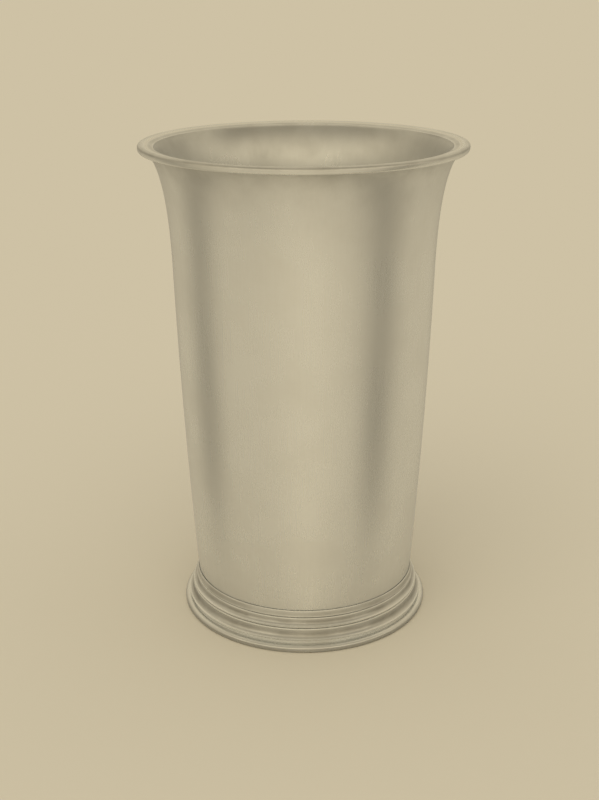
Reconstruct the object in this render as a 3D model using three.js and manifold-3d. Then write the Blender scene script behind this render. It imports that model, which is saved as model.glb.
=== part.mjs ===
// A silver beaker: a tapered sheet wall that flares to a lip, a half-round wire round the lip,
// a let-in bottom, and a moulded foot of four rings. Every joint is soldered and nothing moves.
// Millimetres, +Z up. The origin is at the middle of the foot, on the surface that it stands on.

import * as THREE from 'three';
import { mergeVertices } from 'three/addons/utils/BufferGeometryUtils.js';
import ManifoldModule from 'manifold-3d';

const manifold = await ManifoldModule();
manifold.setup();

// Wall: diameters are outside ones unless they say otherwise.
const BEAKER_HEIGHT = 127; // from the foot to the crest of the rim
const BASE_DIAMETER = 59.3; // at the top of the foot
const NECK_DIAMETER = 67.7; // where the flare starts
const WALL_SWELL = 0.5; // how far the taper bows out halfway up
const WALL_THICKNESS = 0.9;
const WALL_SEAT = 1.95; // how far the wall reaches down inside the lower foot band
const FLARE_HEIGHT = 29.5; // from the neck up to the underside of the rim
const FLARE_TURN = 5.0; // where the flare turns out, below the underside of the rim

// Lip: the edge of the wall, thickened, with a half-round wire round its outside.
const MOUTH_DIAMETER = 75.0; // inside
const LIP_THICKNESS = 1.8;
const LIP_EDGE_DROP = 0.65; // inner edge, below the crest
const LIP_SEAM_DROP = 0.32; // seam with the wire, below the crest
const LIP_ROUND = 0.25;
const LIP_WIRE_HEIGHT = 1.85;
const LIP_WIRE_WIDTH = 2.1;
const LIP_WIRE_SHOULDER = 0.8; // from the crest out to the widest line
const LIP_WIRE_BELLY = 0.85; // widest line, below the crest
const LIP_WIRE_UNDERCUT = 0.85; // how far the underside draws in

// Bottom: a disc let into the wall, flat at its edge and slightly domed.
const BOTTOM_THICKNESS = 1.2;
const BOTTOM_DOME = 0.8;
const BOTTOM_FLAT = 4.0; // width of the flat edge
const WALL_BELOW_BOTTOM = 0.8;

// Foot: four rings, named from the top down.
const COLLAR_HEIGHT = 1.75;
const COLLAR_EDGE = 0.2; // thickness along its top
const COLLAR_FLARE = 0.3;
const UPPER_BAND_HEIGHT = 2.5;
const UPPER_BAND_FLARE = 0.9;
const LOWER_BAND_HEIGHT = 3.1;
const LOWER_BAND_FLARE = 1.0;
const LOWER_BAND_THICKNESS = 1.5;
const BAND_STEP = 0.15; // how far a band stands out past the ring above it
const BAND_LAND = 0.3; // plain edge along the bottom of a band
const BEAD_RADIUS = 0.35; // bead along the top of a band
const HOLLOW_SINK = 0.15; // how far the hollow lies behind the bead
const HOLLOW_TURN = 0.35; // height over the land at which the hollow turns out
const STAND_WIRE_HEIGHT = 2.7;
const STAND_WIRE_WIDTH = 2.75;
const STAND_WIRE_BULGE = 1.25; // how far it stands out past the lower band
const STAND_WIRE_BELLY = 1.1; // height of its widest line
const STAND_WIRE_ROUND = 0.65; // from the widest line in to the flat that it stands on
const STAND_GROOVE_DEPTH = 0.5; // groove along its top, behind the edge of the lower band
const STAND_GROOVE_HEIGHT = 0.75;
const STAND_GROOVE_LEDGE = 0.3; // flat at the foot of the groove

// Joints: the gap that solder runs into, and the solder that shows.
const SOLDER_GAP = 0.1;
const SOLDER_CLEARANCE = 0.05;
const SEAM_WIDTH = 0.3; // upright seam up one side of the wall, at +X
const LIP_GROOVE = 0.3; // leg of the groove along the lip seam
const BOTTOM_FILLET = 0.6;
const FOOT_FILLET = 0.65;

const RING_SEGMENTS = 56;
const TAPER_STEPS = 4;
const FLARE_STEPS = 7;
const ROUND_STEPS = 3;
const MERGE_DISTANCE = 1e-4;

const SATIN_SILVER = { color: 0xc3bdaf, roughness: 0.38, metalness: 1 };
const DRAWN_SILVER = { color: 0xcac4b6, roughness: 0.32, metalness: 1 };
const SILVER_SOLDER = { color: 0xb3ac9b, roughness: 0.48, metalness: 1 };

// Heights of the foot's rings, stacked on the stand wire with a solder gap between them.
const lowerBandBottom = STAND_WIRE_HEIGHT + SOLDER_GAP;
const lowerBandTop = lowerBandBottom + LOWER_BAND_HEIGHT;
const upperBandBottom = lowerBandTop + SOLDER_GAP;
const upperBandTop = upperBandBottom + UPPER_BAND_HEIGHT;
const collarBottom = upperBandTop + SOLDER_GAP;
const footTop = collarBottom + COLLAR_HEIGHT;

// Heights along the wall.
const wallBottom = lowerBandTop - WALL_SEAT;
const rimUnderside = BEAKER_HEIGHT - LIP_WIRE_HEIGHT;
const neckHeight = rimUnderside - FLARE_HEIGHT;
const flareTurnHeight = rimUnderside - FLARE_TURN;
const lipSeamHeight = BEAKER_HEIGHT - LIP_SEAM_DROP;
const lipEdgeHeight = BEAKER_HEIGHT - LIP_EDGE_DROP;
const bottomUnderside = wallBottom + WALL_BELOW_BOTTOM;
const bandSeatBottom = wallBottom + FOOT_FILLET;

const neckRadius = NECK_DIAMETER / 2;
const baseRadius = BASE_DIAMETER / 2;
const mouthRadius = MOUTH_DIAMETER / 2;
const lipRadius = mouthRadius + LIP_THICKNESS;
const taperHeight = neckHeight - footTop;
const neckSlope = (neckRadius - baseRadius - 4 * WALL_SWELL) / taperHeight;

// Outside radius of the wall at a height up to the neck: a straight taper with a slight swell.
function wallOutside(height) {
  const rise = (height - footTop) / taperHeight;
  const taper = baseRadius + (neckRadius - baseRadius) * rise;
  return taper + 4 * WALL_SWELL * rise * (1 - rise);
}

function wallInside(height) {
  return wallOutside(height) - WALL_THICKNESS;
}

function ringSeat(height) {
  return wallOutside(height) + SOLDER_GAP;
}

// Radii of the foot's rings: each stands out a little past the one above.
const collarTopRadius = ringSeat(footTop) + COLLAR_EDGE;
const collarBottomRadius = collarTopRadius + COLLAR_FLARE;
const upperBeadRadius = collarBottomRadius + BAND_STEP;
const upperEdgeRadius = upperBeadRadius + UPPER_BAND_FLARE;
const lowerBeadRadius = upperEdgeRadius + BAND_STEP;
const lowerEdgeRadius = lowerBeadRadius + LOWER_BAND_FLARE;
const lowerInnerRadius = lowerEdgeRadius - LOWER_BAND_THICKNESS;
const standRadius = lowerEdgeRadius + STAND_WIRE_BULGE;
const standInnerRadius = standRadius - STAND_WIRE_WIDTH;

// Outlines are lists of points (radius, height) that run up the outside and down the inside.
function at(radius, height) {
  return new THREE.Vector2(radius, height);
}

function bend(from, control, to, steps = ROUND_STEPS) {
  return new THREE.QuadraticBezierCurve(from, control, to).getPoints(steps);
}

function turned(outline) {
  const points = outline.filter((p, i) => i === 0 || p.distanceTo(outline[i - 1]) > MERGE_DISTANCE);
  if (points[0].x > 0) {
    points.push(points[0].clone());
  }
  return new THREE.LatheGeometry(points, RING_SEGMENTS).rotateX(Math.PI / 2);
}

function taperLine(radiusAt) {
  const step = (neckHeight - wallBottom) / TAPER_STEPS;
  const heights = Array.from({ length: TAPER_STEPS + 1 }, (_, i) => wallBottom + i * step);
  return heights.map((height) => at(radiusAt(height), height));
}

function flareLine(inset, end) {
  const start = at(neckRadius - inset, neckHeight);
  const turn = at(start.x + neckSlope * (flareTurnHeight - neckHeight), flareTurnHeight);
  return bend(start, turn, end, FLARE_STEPS);
}

function wallOutline() {
  const outerEnd = at(lipRadius, rimUnderside);
  const innerEnd = at(mouthRadius, lipEdgeHeight - LIP_ROUND);
  const outside = [...taperLine(wallOutside), ...flareLine(0, outerEnd)];
  const inside = [...taperLine(wallInside), ...flareLine(WALL_THICKNESS, innerEnd)];
  return [
    ...outside,
    at(lipRadius, lipSeamHeight - LIP_GROOVE),
    at(lipRadius - LIP_GROOVE, lipSeamHeight),
    at(mouthRadius + LIP_ROUND, lipEdgeHeight),
    ...inside.reverse(),
  ];
}

function lipMouldingOutline() {
  const seat = lipRadius + SOLDER_GAP;
  const widest = seat + LIP_WIRE_WIDTH;
  const crest = at(widest - LIP_WIRE_SHOULDER, BEAKER_HEIGHT);
  const belly = at(widest, BEAKER_HEIGHT - LIP_WIRE_BELLY);
  const under = at(widest - LIP_WIRE_UNDERCUT, rimUnderside);
  const groove = at(seat + LIP_GROOVE, lipSeamHeight);
  return [
    ...bend(under, at(widest, rimUnderside), belly),
    ...bend(belly, at(widest, BEAKER_HEIGHT), crest),
    ...bend(crest, at((crest.x + groove.x) / 2, BEAKER_HEIGHT), groove),
    at(seat, lipSeamHeight - LIP_GROOVE),
    at(seat, rimUnderside),
  ];
}

function lipSolderOutline() {
  const middle = lipRadius + SOLDER_GAP / 2;
  const reach = SOLDER_GAP / 2 + LIP_GROOVE - SOLDER_CLEARANCE * Math.SQRT2;
  const root = lipSeamHeight - LIP_GROOVE + SOLDER_CLEARANCE;
  return [at(middle, root), at(middle + reach, lipSeamHeight), at(middle - reach, lipSeamHeight)];
}

function bottomOutline() {
  const top = bottomUnderside + BOTTOM_THICKNESS;
  const lowerEdge = at(wallInside(bottomUnderside) - SOLDER_GAP, bottomUnderside);
  const upperEdge = at(wallInside(top) - SOLDER_GAP, top);
  const domeStart = lowerEdge.x - BOTTOM_FLAT;
  const domeTurn = domeStart / 2;
  const underDome = bend(
    at(0, bottomUnderside + BOTTOM_DOME),
    at(domeTurn, bottomUnderside + BOTTOM_DOME),
    at(domeStart, bottomUnderside),
  );
  const overDome = bend(
    at(domeStart, top),
    at(domeTurn, top + BOTTOM_DOME),
    at(0, top + BOTTOM_DOME),
  );
  return [...underDome, lowerEdge, upperEdge, ...overDome];
}

function bottomSolderOutline() {
  const under = bottomUnderside - SOLDER_CLEARANCE;
  const low = bottomUnderside - BOTTOM_FILLET;
  const corner = at(wallInside(under) - SOLDER_CLEARANCE, under);
  return [at(wallInside(low) - SOLDER_CLEARANCE, low), corner, at(corner.x - BOTTOM_FILLET, under)];
}

function collarOutline() {
  return [
    at(ringSeat(collarBottom), collarBottom),
    at(collarBottomRadius, collarBottom),
    at(collarTopRadius, footTop),
    at(ringSeat(footTop), footTop),
  ];
}

// Outside of a moulded band: a land along the bottom, a hollow, and a bead along the top.
function bandFace(edgeRadius, bottom, beadRadius, top) {
  const landTop = at(edgeRadius, bottom + BAND_LAND);
  const beadUnder = at(beadRadius, top - BEAD_RADIUS);
  const hollow = at(beadRadius - HOLLOW_SINK, landTop.y + HOLLOW_TURN);
  return [
    at(edgeRadius, bottom),
    ...bend(landTop, hollow, beadUnder),
    ...bend(beadUnder, at(beadRadius, top), at(beadRadius - BEAD_RADIUS, top)),
  ];
}

function upperBandOutline() {
  return [
    at(ringSeat(upperBandBottom), upperBandBottom),
    ...bandFace(upperEdgeRadius, upperBandBottom, upperBeadRadius, upperBandTop),
    at(ringSeat(upperBandTop), upperBandTop),
  ];
}

function lowerBandOutline() {
  return [
    at(lowerInnerRadius, lowerBandBottom),
    ...bandFace(lowerEdgeRadius, lowerBandBottom, lowerBeadRadius, lowerBandTop),
    at(ringSeat(lowerBandTop), lowerBandTop),
    at(ringSeat(bandSeatBottom), bandSeatBottom),
  ];
}

// The solder under the lower band lies along its slanted inner face, which this line follows.
function lowerBandSlant() {
  const upperEnd = at(ringSeat(bandSeatBottom), bandSeatBottom);
  const lowerEnd = at(lowerInnerRadius, lowerBandBottom);
  const along = lowerEnd.clone().sub(upperEnd).normalize();
  const inward = at(along.y, -along.x);
  return { upperEnd, lowerEnd, along, inward };
}

function footSolderOutline() {
  const { upperEnd, along, inward } = lowerBandSlant();
  const corner = at(wallOutside(bandSeatBottom) + SOLDER_CLEARANCE, bandSeatBottom - SOLDER_CLEARANCE);
  const onWall = at(wallOutside(wallBottom) + SOLDER_CLEARANCE, wallBottom);
  const onBand = upperEnd.clone().addScaledVector(along, FOOT_FILLET);
  return [onWall, onBand.addScaledVector(inward, SOLDER_CLEARANCE), corner];
}

function standWireOutline() {
  const grooveRadius = lowerEdgeRadius - STAND_GROOVE_DEPTH;
  const grooveFoot = STAND_WIRE_HEIGHT - STAND_GROOVE_HEIGHT;
  const belly = at(standRadius, STAND_WIRE_BELLY);
  const ledge = at(grooveRadius + STAND_GROOVE_LEDGE, grooveFoot);
  return [
    at(standInnerRadius, 0),
    ...bend(at(standRadius - STAND_WIRE_ROUND, 0), at(standRadius, 0), belly),
    ...bend(belly, at(standRadius, grooveFoot), ledge),
    at(grooveRadius, grooveFoot),
    at(grooveRadius, STAND_WIRE_HEIGHT),
    at(standInnerRadius, STAND_WIRE_HEIGHT),
  ];
}

function standSolderOutline() {
  const { lowerEnd, along, inward } = lowerBandSlant();
  const onWire = STAND_WIRE_HEIGHT + SOLDER_CLEARANCE;
  const onBand = lowerEnd.clone().addScaledVector(along, -FOOT_FILLET);
  return [
    at(lowerEnd.x - FOOT_FILLET, onWire),
    at(lowerEnd.x - SOLDER_GAP, onWire),
    onBand.addScaledVector(inward, SOLDER_CLEARANCE),
  ];
}

function toSolid(geometry) {
  const bare = geometry.clone();
  bare.deleteAttribute('normal');
  bare.deleteAttribute('uv');
  const merged = mergeVertices(bare, MERGE_DISTANCE);
  const vertProperties = merged.attributes.position.array;
  const triVerts = Uint32Array.from(merged.index.array);
  return new manifold.Manifold(new manifold.Mesh({ numProp: 3, vertProperties, triVerts }));
}

function toGeometry(solid) {
  const mesh = solid.getMesh();
  const geometry = new THREE.BufferGeometry();
  geometry.setAttribute('position', new THREE.BufferAttribute(mesh.vertProperties, 3));
  geometry.setIndex(new THREE.BufferAttribute(mesh.triVerts, 1));
  geometry.computeVertexNormals();
  return geometry;
}

// An upright slice from the axis out past the lip, which cuts one side of the wall through.
function sideSlice(width) {
  const reach = 2 * lipRadius;
  const slice = new THREE.BoxGeometry(reach, width, BEAKER_HEIGHT);
  return toSolid(slice.translate(reach / 2, 0, BEAKER_HEIGHT / 2));
}

function piece(name, geometry, finish) {
  const mesh = new THREE.Mesh(geometry, new THREE.MeshStandardMaterial(finish));
  mesh.name = name;
  return mesh;
}

// The wall is a rolled sheet: its two edges meet along one side, with solder between them.
const wholeWall = toSolid(turned(wallOutline()));
const wallSheet = wholeWall.subtract(sideSlice(SEAM_WIDTH + 2 * SOLDER_CLEARANCE));
const seamSolder = wholeWall.intersect(sideSlice(SEAM_WIDTH));

const beaker = new THREE.Group();
beaker.add(
  piece('body_wall', toGeometry(wallSheet), SATIN_SILVER),
  piece('body_seam_solder', toGeometry(seamSolder), SILVER_SOLDER),
  piece('lip_moulding', turned(lipMouldingOutline()), DRAWN_SILVER),
  piece('lip_solder', turned(lipSolderOutline()), SILVER_SOLDER),
  piece('bottom_disc', turned(bottomOutline()), SATIN_SILVER),
  piece('bottom_solder', turned(bottomSolderOutline()), SILVER_SOLDER),
  piece('collar_band', turned(collarOutline()), DRAWN_SILVER),
  piece('upper_foot_band', turned(upperBandOutline()), DRAWN_SILVER),
  piece('lower_foot_band', turned(lowerBandOutline()), DRAWN_SILVER),
  piece('foot_solder', turned(footSolderOutline()), SILVER_SOLDER),
  piece('stand_wire', turned(standWireOutline()), DRAWN_SILVER),
  piece('stand_wire_solder', turned(standSolderOutline()), SILVER_SOLDER),
);

export default beaker;
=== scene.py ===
"""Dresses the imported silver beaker: a turned mesh for every piece, silver finishes and a plain stage."""

import functools
import math
from typing import NamedTuple

import bmesh
import bpy
from bpy.props import FloatProperty, FloatVectorProperty, PointerProperty
from bpy.types import NodeSocket, Operator, Panel, PropertyGroup
from mathutils import Matrix, Vector


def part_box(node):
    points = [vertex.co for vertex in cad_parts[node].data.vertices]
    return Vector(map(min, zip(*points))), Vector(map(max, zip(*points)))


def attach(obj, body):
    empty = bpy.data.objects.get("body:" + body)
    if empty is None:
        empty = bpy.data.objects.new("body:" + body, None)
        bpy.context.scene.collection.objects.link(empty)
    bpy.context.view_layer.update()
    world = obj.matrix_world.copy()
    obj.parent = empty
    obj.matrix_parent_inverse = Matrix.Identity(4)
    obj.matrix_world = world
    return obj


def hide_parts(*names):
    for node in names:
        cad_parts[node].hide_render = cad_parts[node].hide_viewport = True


bl_info = {
    "name": "Silver Beaker",
    "version": (1, 0, 0),
    "blender": (4, 5, 0),
    "location": "3D View > Sidebar > Beaker",
    "description": "Builds the turned pieces, silver finishes and stage of a plain silver beaker",
    "category": "Object",
}

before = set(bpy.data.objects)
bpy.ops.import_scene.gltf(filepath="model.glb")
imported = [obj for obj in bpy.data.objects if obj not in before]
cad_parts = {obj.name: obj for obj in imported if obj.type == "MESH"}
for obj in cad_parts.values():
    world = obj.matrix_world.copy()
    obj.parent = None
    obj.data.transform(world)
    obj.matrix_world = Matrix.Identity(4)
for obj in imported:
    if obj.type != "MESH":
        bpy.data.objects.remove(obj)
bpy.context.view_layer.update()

MM = 0.001
TINY = 1e-8  # a length below this counts as none
FULL_TURN = 2 * math.pi

COLUMNS = 192  # faces round a turned piece
CURVE_STEPS = 14  # rows along a moulding's curve
TAPER_ROWS = 48
FLARE_ROWS = 32
DOME_ROWS = 24
SMALL_STEPS = 8  # rows along a fillet or the compass dent
CORNER_STEPS = 5
CORNER_SHARE = 0.4  # how much of a side a rounded corner may take
SWELL_SLOPE = 4  # slope at the ends of a swell that is 1 high over a length of 1
DENT_SHOULDER = 1.5  # where the dome starts, in radii of the compass dent
FILLET_HOLLOW = 0.35  # how far a fillet's face draws in towards its corner
FINEST_ROW = 0.07 * MM
WIDEST_ROW = 1.4 * MM
ROW_GROWTH = 0.3  # how fast rows widen away from a joint
JOINT_REACH = 0.45 * MM  # how far tarnish spreads from a joint
JOINT_DEPTH = 0.06  # how thick it lies there
EDGE_REACH = 0.22 * MM  # how far polish wear spreads from an edge
EDGE_TURN = math.radians(75)  # a corner this sharp is fully worn
SLIGHT_TURN = 0.01  # a corner that turns less than this isn't worn
SHARP_ANGLE = math.radians(40)
INSIDE_FACING = -0.7  # how squarely a face looks at the axis to count as inside


@functools.cache
def node_box(node):
    """Low and high corners of a CAD node."""
    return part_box(node)


def low(node):
    """Lowest height of a CAD node."""
    return node_box(node)[0][2]


def high(node):
    """Greatest height of a CAD node."""
    return node_box(node)[1][2]


def reach(node):
    """Outside radius of a CAD node; the seam is at +X, so it is taken at -X."""
    return -node_box(node)[0][0]


def length(label, says, millimetres):
    """A length property, in metres."""
    return FloatProperty(name=label, description=says, default=millimetres * MM, min=0.0,
                         precision=5, subtype="DISTANCE", unit="LENGTH")


def share(label, says, value):
    """A property between 0 and 1."""
    return FloatProperty(name=label, description=says, default=value, min=0.0, max=1.0,
                         subtype="FACTOR")


def turn(label, says, degrees):
    """An angle property."""
    return FloatProperty(name=label, description=says, default=math.radians(degrees),
                         subtype="ANGLE", unit="ROTATION")


def colour(label, says, value):
    """A colour property, linear."""
    return FloatVectorProperty(name=label, description=says, default=value, size=3, min=0.0,
                               max=1.0, subtype="COLOR")


class BeakerSizes(PropertyGroup):
    """Sizes of the beaker that its node boxes don't give."""

    base_diameter: length("Base diameter", "Outside of the wall at the top of the foot", 59.3)
    neck_diameter: length("Neck diameter", "Outside of the wall where the flare starts", 67.7)
    wall_swell: length("Wall swell", "How far the taper bows out halfway up", 0.5)
    wall_thickness: length("Wall thickness", "Thickness of the silver sheet", 0.9)
    flare_height: length("Flare height", "From the neck up to the underside of the rim", 29.5)
    flare_turn: length("Flare turn", "Where the flare turns out, below the rim", 5.0)
    mouth_diameter: length("Mouth diameter", "Inside of the lip", 75.0)
    lip_edge_drop: length("Lip edge drop", "Inner edge of the lip, below the crest", 0.65)
    lip_round: length("Lip round", "Rounding of the lip's inner edge", 0.25)
    lip_groove: length("Lip groove", "Leg of the groove between wall and lip wire", 0.3)
    lip_shoulder: length("Lip shoulder", "From the lip's crest out to its widest line", 0.8)
    lip_crown: length("Lip crown", "Rounding from the lip's crest in to its slope", 0.3)
    lip_belly: length("Lip belly", "Widest line of the lip, below the crest", 0.85)
    lip_undercut: length("Lip undercut", "How far the lip's underside draws in", 0.85)
    bottom_thickness: length("Bottom thickness", "Thickness of the bottom disc", 1.2)
    bottom_flat: length("Bottom flat", "Width of the disc's flat edge", 4.0)
    compass_point: length("Compass point", "Radius of the dent at the disc's centre", 0.45)
    collar_edge: length("Collar edge", "Thickness of the collar along its top", 0.2)
    upper_flare: length("Upper band flare", "How far the upper band spreads", 0.9)
    lower_flare: length("Lower band flare", "How far the lower band spreads", 1.0)
    lower_thickness: length("Lower band thickness", "At the lower band's bottom edge", 1.5)
    band_land: length("Band land", "Plain edge along the bottom of a band", 0.3)
    land_round: length("Land round", "Rounding along the lower band's bottom edge", 0.29)
    bead_radius: length("Bead radius", "Bead along the top of a band", 0.35)
    hollow_sink: length("Hollow sink", "How far a band's hollow lies behind its bead", 0.15)
    hollow_turn: length("Hollow turn", "Height over the land where the hollow turns out", 0.35)
    stand_width: length("Stand wire width", "From inside to outside", 2.75)
    stand_belly: length("Stand wire belly", "Height of the stand wire's widest line", 1.1)
    stand_round: length("Stand wire round", "From the widest line in to the flat", 0.65)
    stand_groove: length("Stand groove", "Depth of the groove along the stand wire", 0.5)
    groove_height: length("Groove height", "Height of the groove along the stand wire", 0.75)
    groove_ledge: length("Groove ledge", "Flat at the foot of that groove", 0.3)
    solder_gap: length("Solder gap", "Gap between soldered pieces", 0.1)
    seam_width: length("Seam width", "Upright seam of the wall", 0.3)
    bottom_fillet: length("Bottom fillet", "Leg of the fillet under the bottom disc", 0.6)
    foot_fillet: length("Foot fillet", "Leg of the fillets inside the foot", 0.65)
    edge_round: length("Edge round", "Rounding of the crisp edges", 0.12)


class SilverFinish(PropertyGroup):
    """Colours and polish of the silver."""

    silver: colour("Silver", "Clean polished silver", (0.885, 0.896, 0.896))
    bloom: colour("Bloom", "Silver under a thin tarnish", (0.80, 0.80, 0.78))
    # The grime colour also serves as painted shade under the rim, on the lip and on the foot.
    grime_and_shade: colour("Grime", "Tarnish that stays in the joints", (0.16, 0.145, 0.12))
    worn: colour("Worn", "Edges rubbed bright", (0.93, 0.936, 0.93))
    # The lining is darker than the clean silver as painted shade inside the cup.
    lining: colour("Lining", "Inside of the wall, polished less often", (0.835, 0.845, 0.843))
    solder: colour("Solder", "Silver solder, a little yellower than the sheet", (0.83, 0.82, 0.78))
    wall_roughness: share("Wall roughness", "Satin polish of the wall and bottom", 0.27)
    ring_roughness: share("Ring roughness", "Drawn wire and strip", 0.26)
    solder_roughness: share("Solder roughness", "Solder as it was scraped", 0.34)


class StageLook(PropertyGroup):
    """Floor, light and camera."""

    floor: colour("Floor", "Pale floor and backdrop", (0.60, 0.522, 0.366))
    light: FloatProperty(name="Light", description="Light that falls on the open floor", default=1.03,
                         min=0.0)
    lamp_share: share("Lamp share", "Part of that light that comes from the lamp", 0.18)
    room_level: share("Room level", "How bright the surroundings are in the silver", 0.9)
    room_dim: share("Room dimness", "How much darker the room is above the viewer", 0.32)
    room_glow: share("Room glow", "How much brighter the room is low in front", 0.65)
    room_sky: share("Room sky", "How much brighter the room is behind", 0.15)
    room_corners: share("Room corners", "How much darker the room's back corners are", 0.36)
    front_gain: share("Front gain", "How much brighter the floor in front reflects", 0.17)
    contact_depth: share("Contact depth", "How much darker the floor by the foot reflects", 0.38)
    back_width: turn("Back shade width", "Half width of the shade behind the beaker", 24)
    back_depth: share("Back shade depth", "How much darker the shade behind is", 0.75)
    left_turn: turn("Left shade", "Direction of the shaded side on the left", -99)
    left_width: turn("Left shade width", "Half width of the left shade", 15)
    left_depth: share("Left shade depth", "How much darker the left shade is", 0.43)
    right_turn: turn("Right shade", "Direction of the shaded side on the right", 71)
    right_width: turn("Right shade width", "Half width of the right shade", 16)
    right_depth: share("Right shade depth", "How much darker the right shade is", 0.46)
    camera_tilt: turn("Camera tilt", "How far the camera looks down", 19.95)
    camera_roll: turn("Camera roll", "How far the camera leans to one side", -0.2)


def sizes():
    return bpy.context.scene.beaker_sizes


def finish():
    return bpy.context.scene.beaker_finish


def stage_look():
    return bpy.context.scene.beaker_stage


# Points, heights and radii that several pieces share. A point is a radius and a height.


def at(radius, height):
    return Vector((radius, height))


def foot_top():
    return high("collar_band")


def rim_underside():
    return low("lip_moulding")


def neck_height():
    return rim_underside() - sizes().flare_height


def lip_seam():
    return at(reach("body_wall"), high("body_wall"))


def lip_crest():
    return at(reach("lip_moulding") - sizes().lip_shoulder, high("lip_moulding"))


def under_rim():
    """Where the outside of the wall meets the lip's underside."""
    return at(reach("body_wall"), rim_underside())


def on_wall(height, out=0.0):
    """Outside of the wall, up to the neck, or a line further out: a taper with a slight swell."""
    s = sizes()
    rise = (height - foot_top()) / (neck_height() - foot_top())
    taper = s.base_diameter + (s.neck_diameter - s.base_diameter) * rise
    return at(taper / 2 + SWELL_SLOPE * s.wall_swell * rise * (1 - rise) + out, height)


def in_wall(height):
    """Inside of the wall."""
    return on_wall(height, -sizes().wall_thickness)


def on_seat(height):
    """Inside of a foot ring, a gap's width off the wall."""
    return on_wall(height, sizes().solder_gap)


def band_seat():
    """Height at which the lower band's slanted inner face starts."""
    return low("body_wall") + sizes().foot_fillet


def groove_top():
    """Upper inner corner of the groove along the stand wire."""
    return at(reach("lower_foot_band") - sizes().stand_groove, high("stand_wire"))


def joint_lines():
    """Lines along which pieces meet."""
    s = sizes()
    return [
        on_seat(foot_top()),
        at(reach("collar_band"), low("collar_band")),
        at(reach("upper_foot_band"), low("upper_foot_band")),
        groove_top(),
        groove_top() - at(0, s.groove_height),
        under_rim(),
        in_wall(low("bottom_disc") + s.bottom_thickness),
        in_wall(low("bottom_disc")),
        on_wall(low("body_wall")),
    ]


# Outlines: lists of points that run up the outside and down the inside.


def bend(start, control, end, steps=CURVE_STEPS):
    """A smooth curve from start to end, pulled towards control."""
    points = []
    for i in range(steps + 1):
        t = i / steps
        points.append(start * (1 - t) ** 2 + control * 2 * t * (1 - t) + end * t ** 2)
    return points


def eased(before, corner, after, radius):
    """A corner rounded off over the given length on both sides."""
    back = (before - corner).normalized() * radius
    ahead = (after - corner).normalized() * radius
    return bend(corner + back, corner, corner + ahead, CORNER_STEPS)


def eased_loop(corners, radius):
    """A closed outline of corners, each rounded off."""
    points = []
    for i, corner in enumerate(corners):
        before = corners[i - 1]
        after = corners[(i + 1) % len(corners)]
        shorter = min((before - corner).length, (after - corner).length)
        points += eased(before, corner, after, min(radius, CORNER_SHARE * shorter))
    return points


def split_rows(start, end, lines):
    """Points from start up to end, closer together near the joint lines."""
    middle = (start + end) / 2
    clear = min((middle - line).length for line in lines)
    allowed = min(WIDEST_ROW, max(FINEST_ROW, ROW_GROWTH * clear))
    if (end - start).length <= allowed:
        return [start]
    return split_rows(start, middle, lines) + split_rows(middle, end, lines)


def row_points(outline, closed):
    """The outline's points without doubles, and the rows between them."""
    lines = joint_lines()
    single = [p for i, p in enumerate(outline) if i == 0 or (p - outline[i - 1]).length > TINY]
    ends = single[1:] + (single[:1] if closed else [])
    points = []
    for start, end in zip(single, ends):
        points += split_rows(start, end, lines)
    if not closed:
        points.append(single[-1])
    return points


class TarnishAndShade(NamedTuple):
    """A dark line round the piece, thinner away from it: tarnish at a joint, painted shade elsewhere."""

    line: Vector
    spread: float
    depth: float

    def thickness(self, point):
        return self.depth * math.exp(-((point - self.line).length / self.spread) ** 2)


def tarnish_and_shade_marks(points, extra):
    """Thickness of the dark mark: tarnish along the joints, and painted shade along the piece's extra
    lines.
    """
    layers = [TarnishAndShade(line, JOINT_REACH, JOINT_DEPTH) for line in joint_lines()] + list(extra)
    return [min(1.0, sum(layer.thickness(point) for layer in layers)) for point in points]


def outward_turn(before, point, after):
    """How far an outline turns outwards at a point, as an angle."""
    arriving = point - before
    leaving = after - point
    if min(arriving.length, leaving.length) < TINY:
        return 0.0
    return max(0.0, -arriving.angle_signed(leaving))


def edge_marks(points):
    """1 along a sharp outward edge, 0 on flats and in hollows."""
    turns = map(outward_turn, points[-1:] + points[:-1], points, points[1:] + points[:1])
    edges = [(point, angle) for point, angle in zip(points, turns) if angle > SLIGHT_TURN]
    marks = []
    for point in points:
        near = [angle * math.exp(-((point - edge).length / EDGE_REACH) ** 2) for edge, angle in edges]
        marks.append(min(1.0, sum(near) / EDGE_TURN))
    return marks


# Meshes: an outline carried round the axis.


def all_round(radius):
    """Angles of a full ring's columns, the same at every radius."""
    return [FULL_TURN * k / COLUMNS for k in range(COLUMNS)]


def round_from_seam(radius):
    """Angles of the wall's columns, from one side of the upright seam round to the other."""
    start = math.asin(sizes().seam_width / 2 / radius)
    sweep = FULL_TURN - 2 * start
    return [start + sweep * k / COLUMNS for k in range(COLUMNS + 1)]


def across_seam(radius):
    """Angles of the seam strip's two sides."""
    half = math.asin(sizes().seam_width / 2 / radius)
    return [-half, half]


def lay_row(mesh_maker, point, angles_at):
    """A row of vertices round the axis, or a single pole on the axis."""
    if point.x < TINY:
        return [mesh_maker.verts.new((0, 0, point.y))]
    ring = [(point.x * math.cos(a), point.x * math.sin(a), point.y) for a in angles_at(point.x)]
    return [mesh_maker.verts.new(corner) for corner in ring]


def join_rows(mesh_maker, lower, upper, full):
    """Faces between two rows of vertices."""
    count = max(len(lower), len(upper))
    for k in range(count if full else count - 1):
        ahead = (k + 1) % count
        if len(lower) == 1:
            corners = [lower[0], upper[ahead], upper[k]]
        elif len(upper) == 1:
            corners = [lower[k], lower[ahead], upper[0]]
        else:
            corners = [lower[k], lower[ahead], upper[ahead], upper[k]]
        mesh_maker.faces.new(corners)


def mark_rows(mesh, mark, values, rows):
    """Keeps one value for each row as a mark on all its points."""
    layer = mesh.attributes.new(mark, "FLOAT", "POINT")
    layer.data.foreach_set("value", [value for value, row in zip(values, rows) for _ in row])


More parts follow.
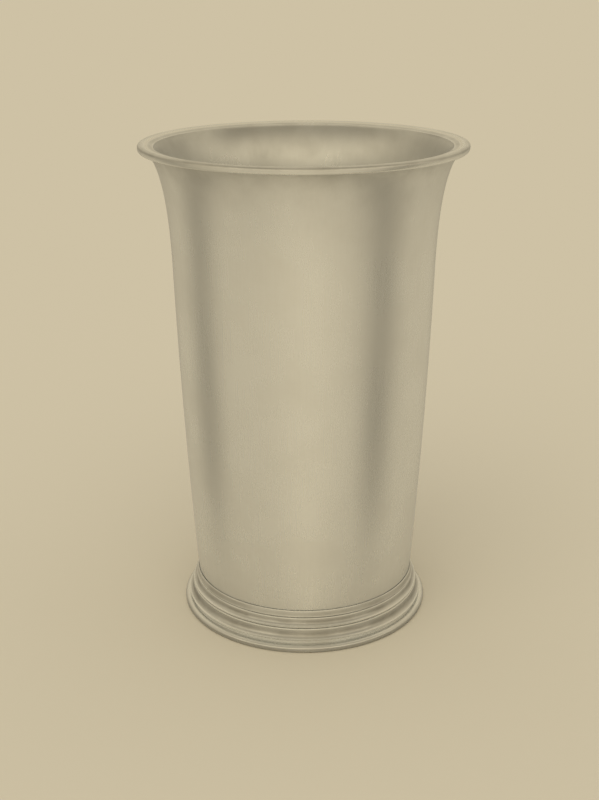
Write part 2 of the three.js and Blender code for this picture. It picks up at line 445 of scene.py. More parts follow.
def carry_round(name, outline, material, tarnish_and_shade=(), angles_at=all_round):
    """Makes a closed piece by carrying an outline round the axis."""
    from_axis = outline[0].x < TINY
    full = angles_at is all_round
    points = row_points(outline, closed=not from_axis)
    mesh_maker = bmesh.new()
    rows = [lay_row(mesh_maker, point, angles_at) for point in points]
    for lower, upper in zip(rows, rows[1:] if from_axis else rows[1:] + rows[:1]):
        join_rows(mesh_maker, lower, upper, full)
    if not full:
        sides = [row[0] for row in rows], [row[-1] for row in reversed(rows)]
        caps = [mesh_maker.faces.new(side) for side in sides]
        bmesh.ops.triangulate(mesh_maker, faces=caps)
    bmesh.ops.recalc_face_normals(mesh_maker, faces=mesh_maker.faces)
    mesh = bpy.data.meshes.new(name)
    mesh_maker.to_mesh(mesh)
    mesh_maker.free()
    # The mark holds tarnish at the joints and the painted shade of the lines given.
    mark_rows(mesh, "tarnish_and_shade_mark", tarnish_and_shade_marks(points, tarnish_and_shade), rows)
    mark_rows(mesh, "edge", edge_marks(points), rows)
    for face in mesh.polygons:
        face.use_smooth = True
    mesh.set_sharp_from_angle(angle=SHARP_ANGLE)
    mesh.materials.append(material)
    piece = bpy.data.objects.new(name, mesh)
    bpy.context.scene.collection.objects.link(piece)
    return piece


def line_inside(piece, material):
    """Gives the faces that look at the axis a finish of their own, a darker silver that paints shade
    inside the cup.
    """
    piece.data.materials.append(material)
    for face in piece.data.polygons:
        outward = Vector((face.center.x, face.center.y, 0)).normalized()
        if face.normal.dot(outward) < INSIDE_FACING:
            face.material_index = 1


def place(piece, node):
    """Puts a finished piece in the CAD node's stead."""
    if not piece.data.polygons:
        raise RuntimeError(f"{piece.name} has no faces")
    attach(piece, "root")
    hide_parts(node)


# Shader nodes, and the groups for effects that several finishes share.

NODE_WIDTH = 220
NODE_HEIGHT = 320
NODES_IN_COLUMN = 5
MIX_COLOURS = ("RGBA", 6, 7, 2)  # a Mix node's kind, and the places of its inputs and output
MIX_VECTORS = ("VECTOR", 4, 5, 1)

STROKES = 1500.0  # to the metre, as are blows and clouds
HAMMER_BLOWS = 90.0
CLOUDS = 60.0
UPRIGHT_DRIFT = 0.012  # how slowly a stroke changes along its length
ROUND_DRIFT = 0.03
NOISE_SPAN = (0.3, 0.7)  # nearly all of a noise lies in this span
CLOUD_SPAN = (0.35, 0.72)  # from clear metal to full cloud
STROKE_STREAKS = 0.12  # how far a stroke turns the colour towards bloom
CLOUD_DULLING = 0.06  # what clouds, strokes and joints add to the roughness
STROKE_DULLING = 0.04
JOINT_DULLING = 0.25
EDGE_POLISH = 0.08  # what wear takes off the roughness


class NodeGraph:
    """A shader tree whose nodes are laid out in the order in which they are added."""

    def __init__(self, tree):
        self.tree = tree
        self.laid = 0

    def lay(self, node):
        """Gives a node the next place."""
        column, row = divmod(self.laid, NODES_IN_COLUMN)
        node.location = (column * NODE_WIDTH, -row * NODE_HEIGHT)
        self.laid += 1
        return node

    def give(self, value, socket):
        """Links a socket to a value from another node, or sets it to a number or colour."""
        if isinstance(value, NodeSocket):
            self.tree.links.new(value, socket)
        else:
            socket.default_value = value

    def add(self, kind, *values, **settings):
        """A new node whose inputs take the values in turn."""
        node = self.lay(self.tree.nodes.new(kind))
        for key, setting in settings.items():
            setattr(node, key, setting)
        for value, socket in zip(values, node.inputs):
            self.give(value, socket)
        return node

    def calc(self, operation, *values, clamp=False):
        return self.add("ShaderNodeMath", *values, operation=operation, use_clamp=clamp).outputs[0]

    def mix(self, kind, amount, first, second):
        data_type, first_place, second_place, result_place = kind
        node = self.add("ShaderNodeMix", amount, data_type=data_type)
        self.give(first, node.inputs[first_place])
        self.give(second, node.inputs[second_place])
        return node.outputs[result_place]

    def rise(self, value, low_end, high_end):
        """Goes smoothly from 0 to 1 as the value goes from one end to the other."""
        node = self.add("ShaderNodeMapRange", value, low_end, high_end, interpolation_type="SMOOTHSTEP")
        return node.outputs["Result"]

    def lobe(self, value, middle, width):
        """1 where the value is at the middle, falling softly to 0 about a width away."""
        spread = self.calc("DIVIDE", self.calc("SUBTRACT", value, middle), width)
        square = self.calc("MULTIPLY", spread, spread)
        return self.calc("EXPONENT", self.calc("MULTIPLY", square, -1.0))

    def where(self, kind="Object"):
        """The place of a point on its piece, or a direction of the world."""
        return self.add("ShaderNodeTexCoord").outputs[kind]

    def split(self, vector):
        return self.add("ShaderNodeSeparateXYZ", vector).outputs

    def join(self, x, y, z):
        return self.add("ShaderNodeCombineXYZ", x, y, z).outputs[0]

    def noise(self, vector, **amounts):
        node = self.add("ShaderNodeTexNoise", vector)
        for label, amount in amounts.items():
            self.give(amount, node.inputs[label])
        return node.outputs["Fac"]

    def scaled(self, rgb, amount):
        """A colour times a value."""
        node = self.add("ShaderNodeVectorMath", rgb, operation="SCALE")
        self.give(amount, node.inputs["Scale"])
        return node.outputs[0]

    def group(self, name, builder, **values):
        """A node of the named group, which is built the first time it is asked for."""
        tree = bpy.data.node_groups.get(name) or builder(name)
        node = self.add("ShaderNodeGroup", node_tree=tree)
        for label, value in values.items():
            node.inputs[label].default_value = value
        return node


def new_group(name, inputs, output):
    """Starts a group with one float output; returns its graph and its inputs' values.

    An input is a float with a default, or a vector where the default is None.
    """
    tree = bpy.data.node_groups.new(name, "ShaderNodeTree")
    for label, default in inputs.items():
        kind = "NodeSocketVector" if default is None else "NodeSocketFloat"
        socket = tree.interface.new_socket(label, in_out="INPUT", socket_type=kind)
        if default is not None:
            socket.default_value = default
    tree.interface.new_socket(output, in_out="OUTPUT", socket_type="NodeSocketFloat")
    graph = NodeGraph(tree)
    return graph, graph.add("NodeGroupInput").outputs


def end_group(graph, value):
    """Ends a group with the value that it puts out."""
    graph.add("NodeGroupOutput", value)
    return graph.tree


def polish_strokes(name):
    """Fine strokes of the polishing cloth, upright or round the axis."""
    graph, given = new_group(name, {"Fineness": STROKES, "Around": 0.0}, "Strokes")
    x, y, z = graph.split(graph.where())
    upright = graph.join(x, y, graph.calc("MULTIPLY", z, UPRIGHT_DRIFT))
    squares = graph.calc("ADD", graph.calc("MULTIPLY", x, x), graph.calc("MULTIPLY", y, y))
    along = graph.calc("MULTIPLY", graph.calc("ADD", x, y), ROUND_DRIFT)
    ringwise = graph.join(graph.calc("SQRT", squares), z, along)
    course = graph.mix(MIX_VECTORS, given["Around"], upright, ringwise)
    grain = graph.noise(course, Scale=given["Fineness"], Detail=2.0)
    return end_group(graph, graph.rise(grain, *NOISE_SPAN))


def cloudy_bloom(name):
    """Soft clouds of thin tarnish."""
    graph, given = new_group(name, {"Clouds": CLOUDS}, "Mask")
    clouds = graph.noise(graph.where(), Scale=given["Clouds"], Detail=4.0, Roughness=0.55)
    return end_group(graph, graph.rise(clouds, *CLOUD_SPAN))


def marked_lines(name, mark, patches, least):
    """A mask from marks on the mesh, uneven along its length."""
    graph, given = new_group(name, {"Amount": 1.0}, "Mask")
    marks = graph.add("ShaderNodeAttribute", attribute_name=mark).outputs["Fac"]
    patchy = graph.rise(graph.noise(graph.where(), Scale=patches, Detail=3.0), *NOISE_SPAN)
    kept = graph.calc("MULTIPLY_ADD", patchy, 1.0 - least, least)
    thick = graph.calc("MULTIPLY", marks, kept)
    return end_group(graph, graph.calc("MULTIPLY", thick, given["Amount"], clamp=True))


def tarnish_and_painted_shade(name):
    """Tarnish left along the joints, and painted shade along the lines that a piece lists."""
    return marked_lines(name, "tarnish_and_shade_mark", patches=130.0, least=0.6)


def worn_edges(name):
    """Edges that handling has rubbed bright."""
    return marked_lines(name, "edge", patches=140.0, least=0.45)


def planishing(name):
    """Shallow facets of the planishing hammer, all but polished away."""
    graph, given = new_group(name, {"Blows": HAMMER_BLOWS}, "Height")
    return end_group(graph, graph.noise(graph.where(), Scale=given["Blows"], Detail=1.0))


def opaque(rgb):
    return (*rgb, 1.0)


def silver_finish(name, clean, roughness, around=0.0, fineness=STROKES, bloom=0.5, tarnish_and_shade=1.0,
                  wear=0.8, blows=HAMMER_BLOWS, blow_depth=0.03, stroke_depth=0.002):
    """A silver material: clean metal, thin bloom, tarnished joints, painted shade and worn edges."""
    ready = bpy.data.materials.get(name)
    if ready:
        return ready
    look = finish()
    material = bpy.data.materials.new(name)
    material.use_nodes = True
    graph = NodeGraph(material.node_tree)
    shader = graph.tree.nodes["Principled BSDF"]
    shader.inputs["Metallic"].default_value = 1.0

    strokes = graph.group("Polish strokes", polish_strokes, Fineness=fineness, Around=around).outputs[0]
    clouds = graph.group("Cloudy bloom", cloudy_bloom).outputs[0]
    tarnish_and_shade_mask = graph.group("Joint tarnish and painted shade", tarnish_and_painted_shade, Amount=tarnish_and_shade).outputs[0]
    edges = graph.group("Worn edges", worn_edges, Amount=wear).outputs[0]
    facets = graph.group("Planishing", planishing, Blows=blows).outputs[0]

    thin = graph.calc("MULTIPLY", clouds, bloom)
    streaked = graph.calc("MULTIPLY_ADD", strokes, STROKE_STREAKS, thin)
    metal = graph.mix(MIX_COLOURS, streaked, opaque(clean), opaque(look.bloom))
    # Joint tarnish and painted shade both darken the metal towards the grime colour.
    lined = graph.mix(MIX_COLOURS, tarnish_and_shade_mask, metal, opaque(look.grime_and_shade))
    rubbed = graph.mix(MIX_COLOURS, edges, lined, opaque(look.worn))
    graph.give(rubbed, shader.inputs["Base Color"])

    dull = graph.calc("MULTIPLY_ADD", clouds, CLOUD_DULLING, roughness - CLOUD_DULLING / 2)
    brushed = graph.calc("MULTIPLY_ADD", strokes, STROKE_DULLING, dull)
    matt = graph.calc("MULTIPLY_ADD", tarnish_and_shade_mask, JOINT_DULLING, brushed)
    polished = graph.calc("MULTIPLY_ADD", edges, -EDGE_POLISH, matt, clamp=True)
    graph.give(polished, shader.inputs["Roughness"])

    shallow = graph.calc("MULTIPLY", facets, blow_depth)
    bump = graph.add("ShaderNodeBump")
    bump.inputs["Distance"].default_value = MM
    graph.give(graph.calc("MULTIPLY_ADD", strokes, stroke_depth, shallow), bump.inputs["Height"])
    graph.give(bump.outputs["Normal"], shader.inputs["Normal"])
    graph.lay(graph.tree.nodes["Material Output"])
    graph.lay(shader)
    return material


def sheet_silver():
    look = finish()
    return silver_finish("beaker_sheet_silver", look.silver, look.wall_roughness, stroke_depth=0.0014)


# Darker silver for the inside of the wall: painted shade inside the cup.
def shaded_lining_silver():
    look = finish()
    return silver_finish("beaker_shaded_lining_silver", look.lining, look.wall_roughness, wear=0.5,
                         stroke_depth=0.0006)


def spun_silver():
    look = finish()
    return silver_finish("beaker_disc_silver", look.silver, look.wall_roughness, around=1.0)


def drawn_silver():
    look = finish()
    return silver_finish("beaker_drawn_silver", look.silver, look.ring_roughness, around=1.0,
                         fineness=1800.0, bloom=0.8, blow_depth=0.01, stroke_depth=0.0012)


def solder_silver():
    look = finish()
    return silver_finish("beaker_solder_silver", look.solder, look.solder_roughness, around=0.5,
                         fineness=2200.0, bloom=0.7, tarnish_and_shade=0.7, wear=0.3, blows=420.0)


# The pieces: outlines, where tarnish and painted shade lie on them, and an operator for each group.


def flare_line(inset, end):
    """One face of the wall from the neck, where it goes on at the taper's slope, out to the lip."""
    s = sizes()
    spread = (s.neck_diameter - s.base_diameter) / 2 - SWELL_SLOPE * s.wall_swell
    slope = spread / (neck_height() - foot_top())
    start = at(s.neck_diameter / 2 - inset, neck_height())
    turn_height = rim_underside() - s.flare_turn
    control = at(start.x + slope * (turn_height - start.y), turn_height)
    return bend(start, control, end, FLARE_ROWS)


def taper_line(face_at):
    """One face of the wall from its foot up to the neck."""
    bottom = low("body_wall")
    step = (neck_height() - bottom) / TAPER_ROWS
    return [face_at(bottom + i * step) for i in range(TAPER_ROWS + 1)]


def wall_outline():
    s = sizes()
    seam = lip_seam()
    mouth = s.mouth_diameter / 2
    lip_edge = high("lip_moulding") - s.lip_edge_drop
    inner_end = at(mouth, lip_edge - s.lip_round)
    outside = taper_line(on_wall) + flare_line(0.0, under_rim())
    inside = taper_line(in_wall) + flare_line(s.wall_thickness, inner_end)
    groove = [at(seam.x, seam.y - s.lip_groove), at(seam.x - s.lip_groove, seam.y)]
    inner_edge = bend(at(mouth + s.lip_round, lip_edge), at(mouth, lip_edge), inner_end, CORNER_STEPS)
    return outside + groove + inner_edge + inside[::-1]


def painted_rim_shade():
    """Painted shade on the wall under the rim: darkest against the lip, fading out over some 18 mm."""
    return [
        TarnishAndShade(under_rim(), spread=2.2 * MM, depth=0.1),
        TarnishAndShade(under_rim(), spread=6.5 * MM, depth=0.16),
        TarnishAndShade(under_rim(), spread=18.0 * MM, depth=0.15),
    ]


def lip_slope(radius):
    """A point on the lip's top, which slopes from the wall's edge up to the crest of the wire."""
    start = lip_seam() - at(sizes().lip_groove, 0)
    crest = lip_crest()
    rise = (radius - start.x) / (crest.x - start.x)
    return at(radius, start.y + rise * (crest.y - start.y))


def lip_outline():
    s = sizes()
    crest = lip_crest()
    widest = reach("lip_moulding")
    seam = lip_seam() + at(s.solder_gap, 0)
    belly = at(widest, high("lip_moulding") - s.lip_belly)
    under = at(widest - s.lip_undercut, rim_underside())
    groove = lip_slope(seam.x + s.lip_groove)
    return (
        bend(under, at(widest, rim_underside()), belly)
        + bend(belly, at(widest, crest.y), crest)
        + bend(crest, crest - at(s.lip_crown, 0), groove)
        + [seam - at(0, s.lip_groove), at(seam.x, rim_underside())]
    )


def painted_lip_shade():
    """Painted shade on the outer round of the lip, just outside the crest and above its widest line."""
    outside_crest = lip_crest() + at(0.45 * MM, -0.25 * MM)
    over_belly = lip_crest() + at(0.68 * MM, -0.5 * MM)
    return [
        TarnishAndShade(outside_crest, spread=0.9 * MM, depth=0.4),
        TarnishAndShade(over_belly, spread=0.28 * MM, depth=0.25),
    ]


def bottom_outline():
    """The disc, flat at its edge and slightly domed, with a compass point under its centre."""
    s = sizes()
    under = low("bottom_disc")
    top = under + s.bottom_thickness
    dome = high("bottom_disc") - top
    inset = s.wall_thickness + s.solder_gap
    lower_edge = on_wall(under, -inset)
    upper_edge = on_wall(top, -inset)
    start = lower_edge.x - s.bottom_flat
    dent = s.compass_point
    centre = under + dome
    dent_top = centre + dent / 2
    return (
        bend(at(0, dent_top), at(dent / 2, dent_top), at(dent, centre), SMALL_STEPS)
        + bend(at(DENT_SHOULDER * dent, centre), at(start / 2, centre), at(start, under), DOME_ROWS)
        + [lower_edge, upper_edge]
        + bend(at(start, top), at(start / 2, top + dome), at(0, top + dome), DOME_ROWS)
    )


def collar_outline():
    bottom = low("collar_band")
    top = foot_top()
    corners = [
        on_seat(bottom),
        at(reach("collar_band"), bottom),
        on_wall(top, sizes().solder_gap + sizes().collar_edge),
        on_seat(top),
    ]
    return eased_loop(corners, sizes().edge_round)


def band_face(node, flare, edge_round):
    """Outside of a moulded band: a land, a hollow above it and a bead along the top."""
    s = sizes()
    edge = reach(node)
    bead = edge - flare
    corner = at(edge, low(node))
    land_top = at(edge, corner.y + s.band_land)
    hollow = at(bead - s.hollow_sink, land_top.y + s.hollow_turn)
    bead_under = at(bead, high(node) - s.bead_radius)
    bead_top = at(bead - s.bead_radius, high(node))
    return (
        eased(at(bead, corner.y), corner, land_top, edge_round)
        + bend(land_top, hollow, bead_under)
        + bend(bead_under, at(bead, bead_top.y), bead_top)
    )


def upper_band_outline():
    s = sizes()
    face = band_face("upper_foot_band", s.upper_flare, s.edge_round)
    return [on_seat(low("upper_foot_band"))] + face + [on_seat(high("upper_foot_band"))]


def lower_band_slant():
    """Ends of the lower band's slanted inner face, and its direction downwards."""
    upper = on_seat(band_seat())
    lower = at(reach("lower_foot_band") - sizes().lower_thickness, low("lower_foot_band"))
    return upper, lower, (lower - upper).normalized()


def lower_band_outline():
    s = sizes()
    upper, lower, _ = lower_band_slant()
    face = band_face("lower_foot_band", s.lower_flare, s.land_round)
    return [lower] + face + [on_seat(high("lower_foot_band")), upper]


def stand_outline():
    s = sizes()
    widest = reach("stand_wire")
    inner = widest - s.stand_width
    inner_round = 2 * s.edge_round
    belly = at(widest, s.stand_belly)
    groove_foot = groove_top() - at(0, s.groove_height)
    ledge = groove_foot + at(s.groove_ledge, 0)
    foot = at(inner, 0)
    inner_top = at(inner, high("stand_wire"))
    return (
        eased(inner_top, foot, at(widest, 0), inner_round)
        + bend(at(widest - s.stand_round, 0), at(widest, 0), belly)
        + bend(belly, at(widest, ledge.y), ledge)
        + eased(ledge, groove_foot, groove_top(), s.edge_round)
        + [groove_top()]
        + eased(groove_top(), inner_top, foot, inner_round)
    )


def painted_foot_shade():
    """Painted shade on the collar, in the bands' hollows and over the top of the stand wire."""
    s = sizes()
    collar_middle = at(reach("collar_band"), (low("collar_band") + foot_top()) / 2)
    upper_bead = at(reach("upper_foot_band") - s.upper_flare, high("upper_foot_band"))
    upper_hollow = upper_bead - at(0, 1.2 * MM)
    lower_bead = at(reach("lower_foot_band") - s.lower_flare, high("lower_foot_band"))
    lower_hollow = lower_bead - at(0, 1.6 * MM)
    over_belly = at(reach("stand_wire"), s.stand_belly) + at(-0.25 * MM, 0.35 * MM)
    return [
        TarnishAndShade(collar_middle, spread=0.9 * MM, depth=0.5),
        TarnishAndShade(upper_hollow, spread=0.7 * MM, depth=0.65),
        TarnishAndShade(lower_hollow, spread=1.0 * MM, depth=0.62),
        TarnishAndShade(over_belly, spread=0.5 * MM, depth=0.3),
    ]


def fillet(corner, first, second):
    """A solder fillet: two legs from a corner and a hollow face between their ends."""
    hollow = corner * FILLET_HOLLOW + (first + second) * ((1 - FILLET_HOLLOW) / 2)
    return bend(first, hollow, second, SMALL_STEPS) + [corner]


def lip_solder_outline():
    s = sizes()
    seam = lip_seam()
    middle = seam.x + s.solder_gap / 2
    half = s.solder_gap / 2 + s.lip_groove
    root = at(middle, seam.y - s.lip_groove - s.solder_gap / 2)
    return [root, lip_slope(middle + half), lip_slope(middle - half)]


def bottom_solder_outline():
    leg = sizes().bottom_fillet
    under = low("bottom_disc")
    return fillet(in_wall(under), in_wall(under) - at(leg, 0), in_wall(under - leg))


def foot_solder_outline():
    upper, _, along = lower_band_slant()
    on_band = upper + along * sizes().foot_fillet
    return fillet(on_wall(band_seat()), on_wall(low("body_wall")), on_band)


def stand_solder_outline():
    _, lower, along = lower_band_slant()
    leg = sizes().foot_fillet
    on_wire = high("stand_wire")
    return fillet(at(lower.x, on_wire), lower - along * leg, at(lower.x - leg, on_wire))


class BEAKER_OT_wall(Operator):
    """Builds the tapered wall, open along its upright seam"""

    bl_idname = "beaker.wall"
    bl_label = "Build Wall"

    def execute(self, context):
        # The wall carries painted shade under the rim.
        wall = carry_round("beaker_wall", wall_outline(), sheet_silver(), painted_rim_shade(),
                           round_from_seam)
        line_inside(wall, shaded_lining_silver())
        place(wall, "body_wall")
        return {"FINISHED"}


class BEAKER_OT_lip(Operator):
    """Builds the half-round wire round the lip"""

    bl_idname = "beaker.lip"
    bl_label = "Build Lip Moulding"

    def execute(self, context):
        lip = carry_round("beaker_lip_moulding", lip_outline(), drawn_silver(), painted_lip_shade())
        place(lip, "lip_moulding")
        return {"FINISHED"}


class BEAKER_OT_bottom(Operator):
    """Builds the let-in bottom disc"""

    bl_idname = "beaker.bottom"
    bl_label = "Build Bottom"

    def execute(self, context):
        disc = carry_round("beaker_bottom_disc", bottom_outline(), spun_silver())
        place(disc, "bottom_disc")
        return {"FINISHED"}


class BEAKER_OT_foot(Operator):
    """Builds the four rings of the moulded foot"""

    bl_idname = "beaker.foot"
    bl_label = "Build Foot Rings"

    def execute(self, context):
        rings = {
            "collar_band": collar_outline,
            "upper_foot_band": upper_band_outline,
            "lower_foot_band": lower_band_outline,
            "stand_wire": stand_outline,
        }
        for node, outline in rings.items():
            ring = carry_round(f"beaker_{node}", outline(), drawn_silver(), painted_foot_shade())
            place(ring, node)
        return {"FINISHED"}


class BEAKER_OT_solder(Operator):
    """Builds the solder lines of the joints"""

    bl_idname = "beaker.solder"
    bl_label = "Build Solder Lines"

    def execute(self, context):
        # The seam strip carries the same painted shade under the rim as the wall.
        seam = carry_round("beaker_seam_solder", wall_outline(), solder_silver(), painted_rim_shade(),
                           across_seam)
        place(seam, "body_seam_solder")
        rings = {
            "lip_solder": lip_solder_outline,
            "bottom_solder": bottom_solder_outline,
            "foot_solder": foot_solder_outline,
            "stand_wire_solder": stand_solder_outline,
        }
        for node, outline in rings.items():
            ring = carry_round(f"beaker_{node}", outline(), solder_silver())
            place(ring, node)
        return {"FINISHED"}


# The stage.

FLOOR_HALF = 6.0  # from the middle of the floor to its edge, in metres
FLOOR_HEIGHT = -0.02 * MM  # just clear of the stand wire's flat
SHADE_CENTRE = 23.5 * MM  # in front of the axis, so that shades run straight up the wall
FRONT_TURN = math.radians(2)  # direction of the brightest reflection
FRONT_WIDTH = math.radians(29)
SIDES = ("Left", "Right")
SIDES_SPAN = (0.02, 0.15)  # distances from the axis at which the side shades start and are full
CONTACT_REACH = 6 * MM  # how far the darker floor round the foot spreads
ROOM_SIDES = 0.35  # how much of the side shades the room itself has
CORNER_TURN = math.radians(130)  # direction of the room's dim back corners, to both sides
CORNER_WIDTH = math.radians(26)
LOW_END = (0.2, 0.5)  # heights of a unit direction between which the low part of the room ends
DIM_START = (0.3, 0.65)  # between which the dim part above the viewer starts
DIM_END = (0.86, 0.97)  # and between which it ends again
FRONT_START = (-0.15, 0.4)  # how far forward a direction points where the front part starts
WHITE = (1.0, 1.0, 1.0, 1.0)
LAMP_AIM = (-0.22, -0.75, 1.0)  # towards the lamp
LAMP_SPREAD = math.radians(60)  # a wide lamp, for soft shadows
CAMERA_PLACE = (-1.25 * MM, -308.6 * MM, 169.93 * MM)
CAMERA_SENSOR = 36.0  # millimetres along the picture's longer side
CAMERA_LENS = 54.74  # focal length in millimetres
CAMERA_NEAR = 10 * MM
CUP_BOUNCES = 16


def side_shade(name):
    """Light from round an upright axis: brighter in front, darker at both sides and behind."""
    inputs = {"Place": None, "Front gain": 0.0, "Sides": 1.0}
    for side in ("Back", *SIDES):
        inputs |= {f"{side} turn": math.pi, f"{side} width": 1.0, f"{side} depth": 0.5}
    graph, given = new_group(name, inputs, "Light")
    x, y, _ = graph.split(given["Place"])
    angle = graph.calc("ARCTAN2", x, graph.calc("MULTIPLY", y, -1.0))
    ahead = graph.lobe(angle, FRONT_TURN, FRONT_WIDTH)
    behind = graph.lobe(graph.calc("ABSOLUTE", angle), given["Back turn"], given["Back width"])
    open_light = graph.calc("SUBTRACT", 1.0, graph.calc("MULTIPLY", behind, given["Back depth"]))
    light = graph.calc("MULTIPLY_ADD", ahead, given["Front gain"], open_light)
    for side in SIDES:
        patch = graph.lobe(angle, given[f"{side} turn"], given[f"{side} width"])
        deep = graph.calc("MULTIPLY", patch, given[f"{side} depth"])
        light = graph.calc("SUBTRACT", light, graph.calc("MULTIPLY", deep, given["Sides"]))
    return end_group(graph, light)


def shaded_sides(graph, vector):
    """The group's node, set as the stage says."""
    look = stage_look()
    labels = ["Front gain", "Back width", "Back depth"]
    labels += [f"{side} {part}" for side in SIDES for part in ("turn", "width", "depth")]
    values = {label: getattr(look, label.lower().replace(" ", "_")) for label in labels}
    node = graph.group("Side shade", side_shade, **values)
    graph.give(vector, node.inputs["Place"])
    return node


def in_reflections(graph, level):
    """The level where silver reflects, and 1 for everything else."""
    rays = graph.add("ShaderNodeLightPath")
    change = graph.calc("MULTIPLY_ADD", level, stage_look().room_level, -1.0)
    return graph.calc("MULTIPLY_ADD", change, rays.outputs["Is Glossy Ray"], 1.0)


def floor_material():
    """Plain floor; only in reflections does it take on the stage's shades."""
    look = stage_look()
    material = bpy.data.materials.new("stage_floor")
    material.use_nodes = True
    graph = NodeGraph(material.node_tree)
    shader = graph.tree.nodes["Principled BSDF"]
    shader.inputs["Roughness"].default_value = 1.0
    shader.inputs["Specular IOR Level"].default_value = 0.0
    shader.inputs["Emission Strength"].default_value = 1.0

    where = graph.where()
    shift = graph.add("ShaderNodeVectorMath", where, (0.0, SHADE_CENTRE, 0.0), operation="ADD")
    from_axis = graph.add("ShaderNodeVectorMath", where, operation="LENGTH").outputs["Value"]
    shades = shaded_sides(graph, shift.outputs[0])
    graph.give(graph.rise(from_axis, *SIDES_SPAN), shades.inputs["Sides"])
    near = graph.lobe(from_axis, reach("stand_wire"), CONTACT_REACH)
    contact = graph.calc("MULTIPLY_ADD", near, -look.contact_depth, 1.0)
    seen = graph.calc("MULTIPLY", shades.outputs["Light"], contact)
    graph.give(graph.scaled(look.floor, in_reflections(graph, seen)), shader.inputs["Base Color"])

    # No light gets under the foot, so there the floor itself lights the silver.
    within = graph.calc("LESS_THAN", from_axis, reach("stand_wire") - sizes().stand_round)
    rays = graph.add("ShaderNodeLightPath")
    under = graph.calc("MULTIPLY", within, rays.outputs["Is Glossy Ray"])
    graph.give(graph.scaled(look.floor, under), shader.inputs["Emission Color"])

    # From below the floor lets the view through to the underside of the beaker.
    below = graph.add("ShaderNodeNewGeometry").outputs["Backfacing"]
    clear = graph.add("ShaderNodeBsdfTransparent")
    either = graph.add("ShaderNodeMixShader", below, shader.outputs[0], clear.outputs[0])
    output = graph.lay(graph.tree.nodes["Material Output"])
    graph.give(either.outputs[0], output.inputs["Surface"])
    graph.lay(shader)
    return material


def light_world():
    """Even light on the stage, and the room that the silver reflects.

    The room glows low in front, is a little brighter behind, and is dim in its back corners and
    above the viewer.
    """
    look = stage_look()
    world = bpy.data.worlds.new("stage_world")
    bpy.context.scene.world = world
    world.use_nodes = True
    graph = NodeGraph(world.node_tree)
    even = graph.lay(graph.tree.nodes["Background"])
    even.inputs["Color"].default_value = WHITE
    even.inputs["Strength"].default_value = look.light * (1.0 - look.lamp_share)

    direction = graph.where("Generated")
    _, y, height = graph.split(direction)
    low_down = graph.calc("SUBTRACT", 1.0, graph.rise(height, *LOW_END))
    high_up = graph.calc("SUBTRACT", graph.rise(height, *DIM_START), graph.rise(height, *DIM_END))
    in_front = graph.rise(graph.calc("MULTIPLY", y, -1.0), *FRONT_START)
    at_back = graph.calc("SUBTRACT", 1.0, in_front)

    shades = shaded_sides(graph, direction)
    shades.inputs["Sides"].default_value = ROOM_SIDES
    shades.inputs["Back turn"].default_value = CORNER_TURN
    shades.inputs["Back width"].default_value = CORNER_WIDTH
    graph.give(graph.calc("MULTIPLY", low_down, look.room_corners), shades.inputs["Back depth"])

    dim = graph.calc("MULTIPLY", high_up, in_front)
    dimmed = graph.calc("MULTIPLY_ADD", dim, -look.room_dim, 1.0)
    low_front = graph.calc("MULTIPLY", low_down, in_front)
    glowing = graph.calc("MULTIPLY_ADD", low_front, look.room_glow, dimmed)
    lit = graph.calc("MULTIPLY_ADD", at_back, look.room_sky, glowing)
    level = graph.calc("MULTIPLY", shades.outputs["Light"], lit)
    room = graph.add("ShaderNodeBackground", graph.scaled(look.floor, in_reflections(graph, level)))

    rays = graph.add("ShaderNodeLightPath").outputs
    shown = graph.calc("MAXIMUM", rays["Is Camera Ray"], rays["Is Glossy Ray"])
    both = graph.add("ShaderNodeMixShader", shown, even.outputs[0], room.outputs[0])
    output = graph.lay(graph.tree.nodes["World Output"])
    graph.give(both.outputs[0], output.inputs["Surface"])


def add_floor():
    corners = [(-1, -1), (1, -1), (1, 1), (-1, 1)]
    spots = [(x * FLOOR_HALF, y * FLOOR_HALF, FLOOR_HEIGHT) for x, y in corners]
    mesh = bpy.data.meshes.new("stage_floor")
    mesh.from_pydata(spots, [], [range(len(spots))])
    mesh.materials.append(floor_material())
    floor = bpy.data.objects.new("stage_floor", mesh)
    bpy.context.scene.collection.objects.link(floor)


def add_lamp():
    look = stage_look()
    lamp = bpy.data.lights.new("stage_lamp", "SUN")
    lamp.angle = LAMP_SPREAD
    aim = Vector(LAMP_AIM).normalized()
    # At this strength the lamp gives the floor its share of an even white light.
    lamp.energy = look.light * look.lamp_share * math.pi / aim.z
    holder = bpy.data.objects.new("stage_lamp", lamp)
    holder.rotation_euler = aim.to_track_quat("Z", "Y").to_euler()
    holder.visible_glossy = False
    bpy.context.scene.collection.objects.link(holder)


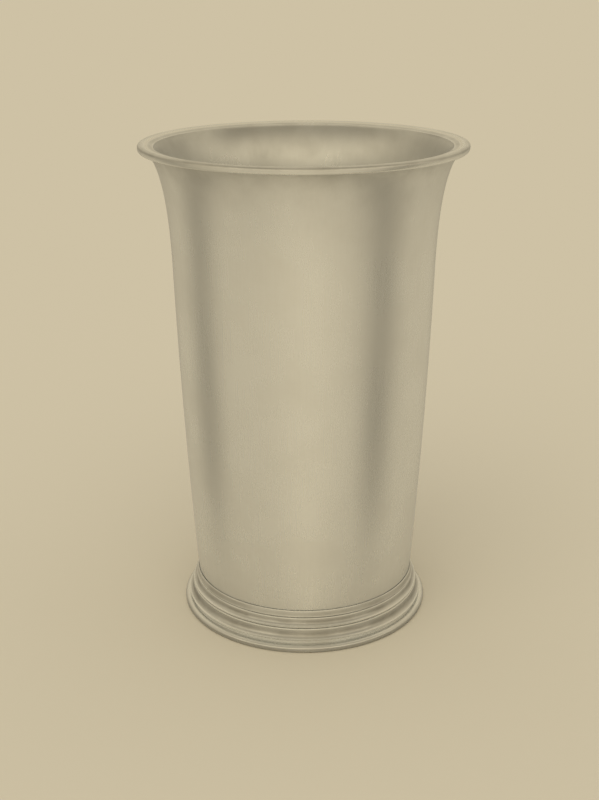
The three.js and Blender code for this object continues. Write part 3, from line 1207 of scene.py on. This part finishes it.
def add_camera():
    look = stage_look()
    lens = bpy.data.cameras.new("stage_camera")
    lens.sensor_width = CAMERA_SENSOR
    lens.lens = CAMERA_LENS
    lens.clip_start = CAMERA_NEAR
    camera = bpy.data.objects.new("stage_camera", lens)
    camera.location = CAMERA_PLACE
    level = Matrix.Rotation(math.pi / 2 - look.camera_tilt, 3, "X")
    camera.rotation_euler = (level @ Matrix.Rotation(look.camera_roll, 3, "Z")).to_euler()
    bpy.context.scene.collection.objects.link(camera)
    bpy.context.scene.camera = camera


class BEAKER_OT_stage(Operator):
    """Sets the floor, the light and the camera"""

    bl_idname = "beaker.stage"
    bl_label = "Set Stage"

    def execute(self, context):
        add_floor()
        light_world()
        add_lamp()
        add_camera()
        context.scene.view_settings.view_transform = "Standard"
        # Light leaves a deep silver cup only after many reflections.
        context.scene.cycles.max_bounces = CUP_BOUNCES
        context.scene.cycles.glossy_bounces = CUP_BOUNCES
        return {"FINISHED"}


class VIEW3D_PT_beaker(Panel):
    """Sizes, finishes and steps of the silver beaker"""

    bl_label = "Silver Beaker"
    bl_idname = "VIEW3D_PT_beaker"
    bl_space_type = "VIEW_3D"
    bl_region_type = "UI"
    bl_category = "Beaker"

    def draw(self, context):
        for name, kind in SETTINGS.items():
            box = self.layout.box()
            for key in kind.__annotations__:
                box.prop(getattr(context.scene, name), key)
        for step in STEPS:
            self.layout.operator(step.bl_idname)


STEPS = (BEAKER_OT_wall, BEAKER_OT_lip, BEAKER_OT_bottom, BEAKER_OT_foot, BEAKER_OT_solder,
         BEAKER_OT_stage)
SETTINGS = {"beaker_sizes": BeakerSizes, "beaker_finish": SilverFinish, "beaker_stage": StageLook}
CLASSES = (*SETTINGS.values(), *STEPS, VIEW3D_PT_beaker)


def register():
    for kind in CLASSES:
        bpy.utils.register_class(kind)
    for name, kind in SETTINGS.items():
        setattr(bpy.types.Scene, name, PointerProperty(type=kind))


def unregister():
    for name in SETTINGS:
        delattr(bpy.types.Scene, name)
    for kind in reversed(CLASSES):
        bpy.utils.unregister_class(kind)


def main():
    register()
    bpy.ops.beaker.wall()
    bpy.ops.beaker.lip()
    bpy.ops.beaker.bottom()
    bpy.ops.beaker.foot()
    bpy.ops.beaker.solder()
    bpy.ops.beaker.stage()


if __name__ == "__main__":
    main()
